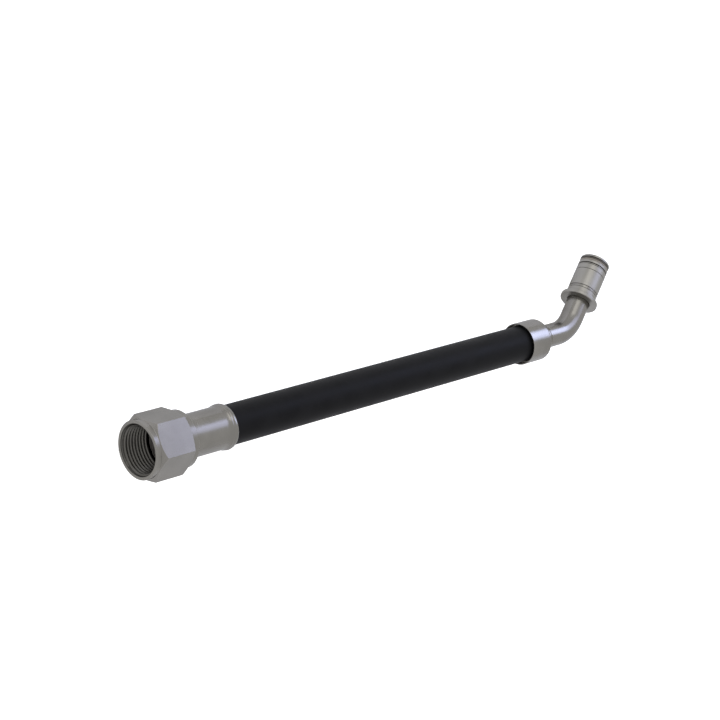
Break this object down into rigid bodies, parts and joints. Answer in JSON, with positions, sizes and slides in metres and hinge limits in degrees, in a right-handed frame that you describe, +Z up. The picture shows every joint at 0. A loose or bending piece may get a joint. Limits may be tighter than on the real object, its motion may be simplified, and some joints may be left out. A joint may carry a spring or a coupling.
{
  "type": "hydraulic hose assembly",
  "caption": "Straight one-wire hydraulic hose with a crimped flat-face swivel nut on one end and a 45 degree bent tube with a quick-connect male plug and release sleeve on the other.",
  "frame": {"origin": "under the middle of the whole part's box, on the surface it lies on", "axes": "+X along the hose from the swivel nut to the elbow, +Y the way the elbow bends, +Z up"},
  "size_m": [0.4288, 0.0682, 0.0388],
  "materials": {
    "nut_steel": "zinc plated, satin",
    "fitting_steel": "zinc plated, satin",
    "tube_steel": "zinc plated, drawn tube",
    "wire_steel": "spring wire",
    "braid_wire": "brass coated braided wire",
    "braze": "plated over",
    "cover_rubber": "smooth, slightly glossy",
    "tube_rubber": "matte",
    "seal_rubber": "moulded, dark brown",
    "ptfe": "bronze filled, matte"
  },
  "bodies": {
    "hose_body": {"swivel_stem": "fitting_steel", "thrust_wire": "wire_steel", "nut_end_ferrule": "fitting_steel", "hose_inner_tube": "tube_rubber", "hose_wire_braid": "braid_wire", "hose_cover": "cover_rubber"},
    "nut": {"swivel_nut": "nut_steel"},
    "elbow_end": {"plug_end_ferrule": "fitting_steel", "elbow_stem": "fitting_steel", "stem_braze_ring": "braze", "elbow_tube": "tube_steel", "plug_nipple": "fitting_steel", "plug_braze_ring": "braze", "dust_seal": "seal_rubber", "snap_ring": "wire_steel", "backup_ring": "ptfe", "o_ring": "seal_rubber"},
    "sleeve": {"release_sleeve": "fitting_steel", "indicator_band": "wire_steel"}
  },
  "joints": [
    {"name": "nut_spin", "type": "hinge", "parent": "hose_body", "child": "nut", "pos_m": [-0.1869, -0.01454, 0.01938], "axis": [1, 0, 0], "continuous": true},
    {"name": "hose_flex", "type": "hinge", "parent": "hose_body", "child": "elbow_end", "pos_m": [-0.01832, -0.01454, 0.01938], "axis": [0, 0, 1], "range_deg": [-25, 25], "stiffness_Nm_per_rad": 6, "deforming": ["hose_inner_tube", "hose_wire_braid", "hose_cover"]},
    {"name": "sleeve_slide", "type": "slide", "parent": "elbow_end", "child": "sleeve", "axis": [-0.7071, -0.7071, 0], "range_m": [0, 0.004]}
  ]
}
